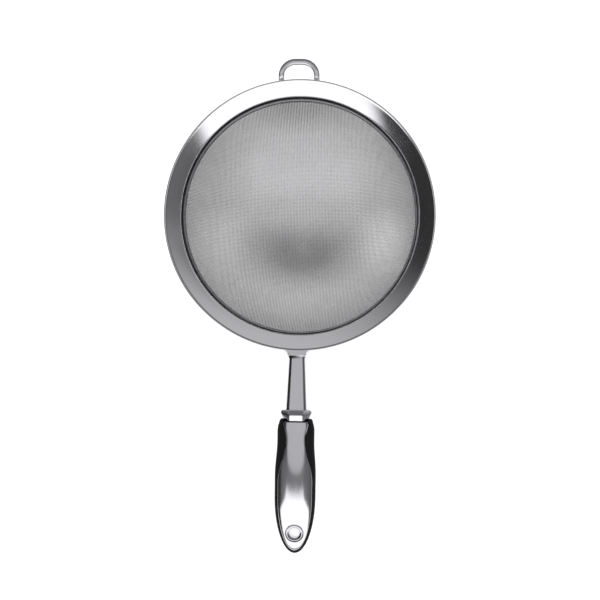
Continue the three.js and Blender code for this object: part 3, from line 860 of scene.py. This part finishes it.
def shell_half_width(along, grow):
    waist = lerp(SHELL_HEAD_WIDTH, SHELL_WAIST_WIDTH, smoothstep(along, 0, SHELL_WAIST_AT)) / 2
    belly = body_half_width(along) - GRIP_BORDER
    half = lerp(waist, belly, smoothstep(along, SHELL_WAIST_AT, SHELL_BELLY_AT)) + grow
    return half * tip_scale(along, GRIP_BORDER - grow)


def handle_height(x, along, side):
    """Height of the handle's upper or lower side."""
    scale = np.maximum(tip_scale(along), 1e-4)
    reach = np.clip(np.abs(x) / (body_half_width(along) * scale), 0, 1)
    power = lerp(HEAD_POWER, HANDLE_POWER, smoothstep(along, 0, HEAD_END))
    rise = (1 - reach ** power) ** (1 / power)
    return arch_middle(along) + side * HANDLE_THICKNESS / 2 * scale * rise


def handle_point(x, along, side, depth=0.0):
    x, along = np.broadcast_arrays(np.asarray(x, float), np.asarray(along, float))
    return np.stack([x, HANDLE_FRONT - along, handle_height(x, along, side) - side * depth], -1)


def shell_rows(grow):
    """Stations of the shells' outline from front to tip, with the patch round the hole among them."""
    before = np.linspace(-grow, TIP_START, 44)[:-1]
    tip = TIP_LENGTH - GRIP_BORDER
    first = math.asin((HOLE_ALONG - HOLE_BLOCK - TIP_START) / tip)
    last = math.asin((HOLE_ALONG + HOLE_BLOCK - TIP_START) / tip)
    into = np.sin(np.linspace(0, first, 14)[:-1])
    block = np.linspace(math.sin(first), math.sin(last), BLOCK_ROWS)
    end = np.sin(np.linspace(last, math.radians(88.6), 26)[1:])
    along = TIP_START + (tip + grow) * np.concatenate([into, block, end])
    return np.concatenate([before, along]), len(before) + len(into)


def shell_grid(grow, columns):
    along, block = shell_rows(grow)
    share = np.linspace(1, -1, columns)
    x = shell_half_width(along, grow)[:, None] * share
    return x, np.broadcast_to(along[:, None], x.shape), block


def border(array):
    """The outline of a grid, in order round it."""
    return np.concatenate([array[:-1, 0], array[-1, :-1], array[:0:-1, -1], array[0, :0:-1]])


def shell_points(side):
    """A sheet over the upper or lower side, with rounded edges outside and round the eyelet's seat."""
    columns, rings = 33, 9
    seat = EYELET_RADIUS + FIT_GAP
    # Each edge as steps outwards and down.
    edge = [(-0.16, 0.01), (-0.1, 0.03), (-0.045, 0.08), (-0.01, 0.14), (0.0, 0.24), (0.0, SHELL_SHEET)]
    lip = [(0.3, 0.02), (0.16, 0.08), (0.06, 0.2), (0.0, 0.38), (0.0, SHELL_SHEET)]
    edge_start, lip_start = -0.5, 0.38
    x, along, block = shell_grid(edge_start, columns)
    rows = len(x)
    number = np.arange(rows * columns).reshape(rows, columns)
    last = block + BLOCK_ROWS - 1
    points = [handle_point(x, along, side).reshape(-1, 3)]
    faces = []
    for part in (number[:block + 1], number[last:]):
        quads = np.stack([part[:-1, :-1], part[:-1, 1:], part[1:, 1:], part[1:, :-1]], -1)
        faces.append(quads.reshape(-1, 4))
    count = rows * columns

    def ring(x, along, depth, before):
        """Adds a closed loop of points and the faces from the loop before it."""
        nonlocal count
        points.append(handle_point(x, along, side, depth))
        loop = np.arange(len(x)) + count
        count += len(x)
        faces.append(strip_faces(before, loop))
        return loop

    patch, patch_x, patch_along = [border(a[block:last + 1]) for a in (number, x, along)]
    turn = np.arctan2(patch_along - HOLE_ALONG, patch_x)

    def circle(out):
        return (seat + out) * np.cos(turn), HOLE_ALONG + (seat + out) * np.sin(turn)

    loop = patch
    round_x, round_along = circle(lip_start)
    for t in np.linspace(0, 1, rings + 1)[1:]:
        loop = ring(lerp(patch_x, round_x, t), lerp(patch_along, round_along, t), 0.0, loop)
    for out, depth in lip:
        loop = ring(*circle(out), depth, loop)
    hole_foot = loop
    loop = border(number)
    for grow, depth in edge:
        edge_x, edge_along, _ = shell_grid(grow, columns)
        loop = ring(border(edge_x), border(edge_along), depth, loop)
    outer_foot = loop
    # The inside of the sheet follows the outside.
    top_count = rows * columns + rings * len(patch)
    top_points = np.concatenate(points)[:top_count].copy()
    top_points[:, 2] -= side * SHELL_SHEET
    top_faces = [f for f in faces if f.max() < top_count]
    offset = count
    faces += [f[:, ::-1] + offset for f in top_faces]
    points.append(top_points)
    faces.append(strip_faces(outer_foot, border(number) + offset))
    hole_loop = np.arange(len(patch)) + top_count - len(patch) + offset
    faces.append(strip_faces(hole_foot, hole_loop))
    return drop_unused(np.concatenate(points), faces)


add_piece("handle_shell_top", shell_points(1), SATIN, "handle_top_shell", sharp=45)
add_piece("handle_shell_bottom", shell_points(-1), SATIN, "handle_bottom_shell", sharp=45)


def grip_points():
    """A band round the sides and the tip, whose section runs from the upper lip to the lower one."""
    ahead = np.concatenate([
        PRONG_ROUND * (1 - np.cos(np.radians(np.linspace(0, 90, 9)))) - GRIP_PRONG,
        np.linspace(PRONG_ROUND - GRIP_PRONG, TIP_START, 64)[1:-1],
    ])
    sweep = np.radians(np.linspace(0, 90, 64))
    lip = [(0.0, 1.6), (0.0, 0.36), (0.06, 0.14), (0.2, 0.03), (0.42, 0.0)]
    outer_along = np.concatenate([ahead, TIP_START + TIP_LENGTH * np.sin(sweep)])
    outer_x = body_half_width(outer_along) * np.concatenate([np.ones(len(ahead)), np.cos(sweep)])
    from_front = np.clip((outer_along + GRIP_PRONG) / PRONG_ROUND, 0, 1)
    cut_back = PRONG_ROUND * (1 - np.sqrt(1 - (1 - from_front) ** 2))
    outer_x = outer_x - cut_back

    def inner(grow):
        tip = TIP_LENGTH - GRIP_BORDER + grow
        along = np.concatenate([ahead, TIP_START + tip * np.sin(sweep)])
        x = shell_half_width(along, grow)
        x[-1] = 0
        return x, along

    columns = []
    for side in (1, -1):
        part = [handle_point(*inner(FIT_GAP + grow), side, depth + cut_back) for grow, depth in lip]
        lip_x, lip_along = inner(FIT_GAP + lip[-1][0])
        for t in np.sin(np.radians(np.linspace(0, 90, 18)))[1:]:
            x, along = lerp(lip_x, outer_x, t), lerp(lip_along, outer_along, t)
            part.append(handle_point(x, along, side, cut_back * (1 - t)))
        columns.append(part if side > 0 else part[-2::-1])
    section = np.stack(columns[0] + columns[1], 1)
    mirrored = section[-2::-1] * [-1, 1, 1]
    rows = np.concatenate([section, mirrored])
    count, around = rows.shape[:2]
    return rows.reshape(-1, 3), [grid_faces(count, around, False, True), end_faces(count, around)]


add_piece("soft_grip_band", grip_points(), SOFT, "soft_grip", sharp=50)


def eyelet_points():
    """A sleeve through the handle, dished at both ends."""
    segments = 96
    turn = full_turn(segments)
    profile = [
        (EYELET_RADIUS, 1.3), (7.16, 1.2), (7.12, 0.62), (7.02, 0.3), (6.86, 0.1), (6.66, 0.02), (6.4, 0.06),
        (6.1, 0.28), (5.6, 0.74), (5.1, 1.12), (4.8, 1.32), (4.6, 1.56), (HOLE_RADIUS, 1.95),
    ]
    rows = []
    for side in (1, -1):
        part = []
        for radius, depth in profile:
            part.append(handle_point(radius * np.cos(turn), HOLE_ALONG + radius * np.sin(turn), side, depth))
        rows += part if side > 0 else part[::-1]
    return np.concatenate(rows), [grid_faces(len(rows), segments, True, True)]


add_piece("hanging_eyelet", eyelet_points(), STEEL, "hang_eyelet", sharp=60)

core = bpy.data.objects["handle_core"]
core.data.materials.clear()
core.data.materials.append(CORE)


# Floor, light and camera.

# The strainer rests on its bowl and on the end of its handle, so the floor rises towards the handle.
FLOOR_LEAN = math.radians(14.9)
FLOOR_TOUCHES = (0.0, -27.4, -75.1)
FLOOR_REACH = 4000.0

# Soft changes of the floor's glow, which paint shadow and light on it: centre, reach, share of the reach where
# the change starts, and the glow there and at the end of the reach.
FLOOR_GLOW = [
    ((0, -30), (83.3, 40.0), 0.2, 0.02, 0.2),  # painted shadow below the bowl
    ((0, 10), (108, 108), 0.648, 0.0, -0.13),  # in the rim's shadow
    ((0, 10), (127, 127), 0.866, 0.0, 0.53),  # past the rim
    ((-82, -20), (42, 42), 0.119, 0.12, 0.0),  # light at the bowl's left and right
    ((82, -18), (45, 45), 0.111, 0.26, 0.0),
    ((-36, -10), (45, 30), 0.0, -0.07, 0.0),  # shade at both ends of the dark place
    ((38, -8), (45, 30), 0.0, -0.07, 0.0),
]


def floor_white():
    """White that glows where it is seen, with painted shadow where the bowl stands on it, and clear from
    below.
    """
    s = Shader("floor_white", Roughness=0.9, Specular_IOR_Level=0.0, Emission_Color=(1, 1, 1, 1))

    def change(centre, reach, start, low, high):
        return s.range(s.away(centre, reach), low, high, start, 1.0, "SMOOTHSTEP")

    # Painted shadow: the floor's colour darkens round where the bowl stands on it.
    s.join(change((0, -31), (45.7, 23.7), 0.0, 0.53, 0.8), s.surface, "Base Color")
    path = s.add("ShaderNodeLightPath").outputs
    seen = s.math("MAXIMUM", path["Is Camera Ray"], path["Is Glossy Ray"])
    seen = s.math("MAXIMUM", seen, path["Is Transmission Ray"])
    glow = change(*FLOOR_GLOW[0])
    for more in FLOOR_GLOW[1:]:
        glow = s.math("ADD", glow, change(*more))
    s.join(s.times(seen, glow), s.surface, "Emission Strength")
    mix = s.add("ShaderNodeMixShader")
    s.join(s.add("ShaderNodeNewGeometry").outputs["Backfacing"], mix, 0)
    s.join(s.surface.outputs[0], mix, 1)
    s.join(s.add("ShaderNodeBsdfTransparent").outputs[0], mix, 2)
    s.join(mix.outputs[0], s.tree.nodes["Material Output"], "Surface")
    return s.material


def add_floor():
    x, y = FLOOR_REACH * np.array([(-1, -1), (1, -1), (1, 1), (-1, 1)]).T
    points = np.stack([x, math.cos(FLOOR_LEAN) * y, -math.sin(FLOOR_LEAN) * y], 1) + FLOOR_TOUCHES
    mesh = build_mesh("floor", points, [np.array([[0, 1, 2, 3]])])
    mesh.materials.append(floor_white())
    floor = bpy.data.objects.new("floor", mesh)
    bpy.context.scene.collection.objects.link(floor)


# Brightness in the studio.
SIDES_LEVELS = (0.045, 0.22)  # on the left and on the right
HIGH_RIGHT_LEVEL = 0.14
HIGH_LEFT_LEVEL = 0.025
FRONT_LEVEL = 0.71
DIM_LEVEL = 0.2
CEILING_LEVEL = 0.69
CARD_LEVEL = 1.75

CEILING_WIDE, CEILING_DEEP = 0.52, 0.243  # half sizes
CEILING_EDGE = (0.92, 1.06)
# The white card lies behind the handle, in a plane overhead at a height of 1.
CARD_NEAR = (0.315, 0.35)
CARD_FAR = (3.0, 2.45)
CARD_STRAIGHT_LEFT, CARD_STRAIGHT_RIGHT = 0.4, 0.3  # further out, its near edge slants back
CARD_SLANT = 0.44
CARD_LEFT, CARD_LEFT_WIDENS = 1.35, 0.15  # where its sides begin, and how they widen to the back
CARD_RIGHT, CARD_RIGHT_WIDENS = 0.67, 0.8


class Studio(Nodes):
    """The studio round the strainer, as a world whose brightness depends on the way a ray goes."""

    def __init__(self):
        world = bpy.data.worlds.new("studio")
        bpy.context.scene.world = world
        world.use_nodes = True
        super().__init__(world.node_tree)
        self.tree.nodes.clear()
        self.x, self.y, self.z = self.separate(self.add("ShaderNodeTexCoord").outputs["Generated"])

    def step(self, value, start, end, low=0.0, high=1.0):
        """A soft step of a value, from low at start to high at end."""
        if start > end:
            start, end, low, high = end, start, high, low
        return self.range(value, low, high, start, end, "SMOOTHSTEP")

    def over(self, base, mask, level):
        """The base, with a level laid over it where the mask is 1."""
        gap = self.math("SUBTRACT", level, base)
        return self.math("ADD", base, self.times(gap, mask))

    def widening(self, value, start, slope):
        """A value as a share of a width that grows with the distance behind the strainer."""
        behind = self.math("MAXIMUM", self.back, 0.0)
        return self.math("DIVIDE", value, self.math("ADD", self.times(behind, slope), start))

    def walls(self):
        """The sides, darker on the left, and a lighter wall in front."""
        level = self.step(self.x, -0.6, 0.35, *SIDES_LEVELS)
        high_right = self.times(self.step(self.z, 0.3, 0.55), self.step(self.x, 0.0, 0.3))
        level = self.over(level, high_right, HIGH_RIGHT_LEVEL)
        high_left = self.times(self.step(self.z, 0.3, 0.5), self.step(self.x, -0.15, -0.35))
        level = self.over(level, self.times(high_left, self.step(self.y, -0.2, 0.0)), HIGH_LEFT_LEVEL)
        front = self.math("ADD", self.y, self.times(self.x, 0.2))
        level = self.over(level, self.step(front, 0.15, 1.05), FRONT_LEVEL)
        gap = self.times(self.step(self.y, 0.22, 0.34), self.step(self.z, 0.32, 0.45))
        return self.over(level, gap, DIM_LEVEL)

    def card(self, across):
        """Where the white card is seen."""
        to_right = self.math("SUBTRACT", across, CARD_STRAIGHT_RIGHT)
        to_left = self.math("SUBTRACT", self.times(across, -1.0), CARD_STRAIGHT_LEFT)
        past = self.math("MAXIMUM", self.math("MAXIMUM", to_right, to_left), 0.0)
        near = self.math("SUBTRACT", self.back, self.times(past, CARD_SLANT))
        left = self.widening(across, CARD_LEFT, CARD_LEFT_WIDENS)
        right = self.widening(across, CARD_RIGHT, CARD_RIGHT_WIDENS)
        ends = self.times(self.step(near, *CARD_NEAR), self.step(self.back, *CARD_FAR))
        return self.times(ends, self.step(left, -1.15, -0.85), self.step(right, 1.1, 0.9))

    def light(self):
        level = self.walls()
        wide, deep = self.math("DIVIDE", self.x, CEILING_WIDE), self.math("DIVIDE", self.y, CEILING_DEEP)
        spread = self.math("ADD", self.times(wide, wide), self.times(deep, deep))
        ceiling = self.times(self.step(spread, *CEILING_EDGE[::-1]), self.step(self.z, 0.0, 0.2))
        level = self.over(level, ceiling, CEILING_LEVEL)
        height = self.math("MAXIMUM", self.z, 0.001)
        self.back = self.math("DIVIDE", self.times(self.y, -1.0), height)
        across = self.math("DIVIDE", self.x, height)
        # Between the ceiling and the card the room is dim.
        aside = self.math("ABSOLUTE", across, 0.0)
        between = self.times(self.step(self.back, 0.12, 0.22), self.step(aside, 1.5, 0.7))
        level = self.over(level, self.times(between, self.step(spread, *CEILING_EDGE)), DIM_LEVEL)
        level = self.over(level, self.card(across), CARD_LEVEL)
        path = self.add("ShaderNodeLightPath")
        background = self.add("ShaderNodeBackground")
        background.inputs["Color"].default_value = (1, 1, 1, 1)
        self.join(self.over(level, path.outputs["Is Camera Ray"], 1.0), background, "Strength")
        self.join(background.outputs[0], self.add("ShaderNodeOutputWorld"), "Surface")


VIEW_CENTRE = Vector((1.9, -71.3, 12.0)) * MM
VIEW_DISTANCE = 930 * MM
VIEW_WIDTH = 504.5 * MM
VIEW_LEAN = math.radians(2.5)  # the camera stands a little towards +X
VIEW_ROLL = math.radians(0.95)
SENSOR_WIDTH = 36
LAMP_SIZE = 1.6
LAMP_POWER = 17
LAMP_PLACE = (0.1, 0.3, 1.8)


def add_camera():
    data = bpy.data.cameras.new("camera")
    data.sensor_width = SENSOR_WIDTH
    data.lens = SENSOR_WIDTH * VIEW_DISTANCE / VIEW_WIDTH
    data.clip_start = 0.01
    data.clip_end = 20
    camera = bpy.data.objects.new("camera", data)
    turn = Matrix.Rotation(VIEW_LEAN, 4, "Y") @ Matrix.Rotation(VIEW_ROLL, 4, "Z")
    back = Matrix.Translation(Vector((0, 0, VIEW_DISTANCE)))
    camera.matrix_world = Matrix.Translation(VIEW_CENTRE) @ turn @ back
    bpy.context.scene.collection.objects.link(camera)
    bpy.context.scene.camera = camera


def add_lamp():
    data = bpy.data.lights.new("overhead", "AREA")
    data.shape = "DISK"
    data.size = LAMP_SIZE
    data.energy = LAMP_POWER
    lamp = bpy.data.objects.new("overhead", data)
    lamp.location = LAMP_PLACE
    lamp.visible_glossy = False
    bpy.context.scene.collection.objects.link(lamp)


add_floor()
Studio().light()
add_lamp()
add_camera()
bpy.context.scene.view_settings.view_transform = "Standard"
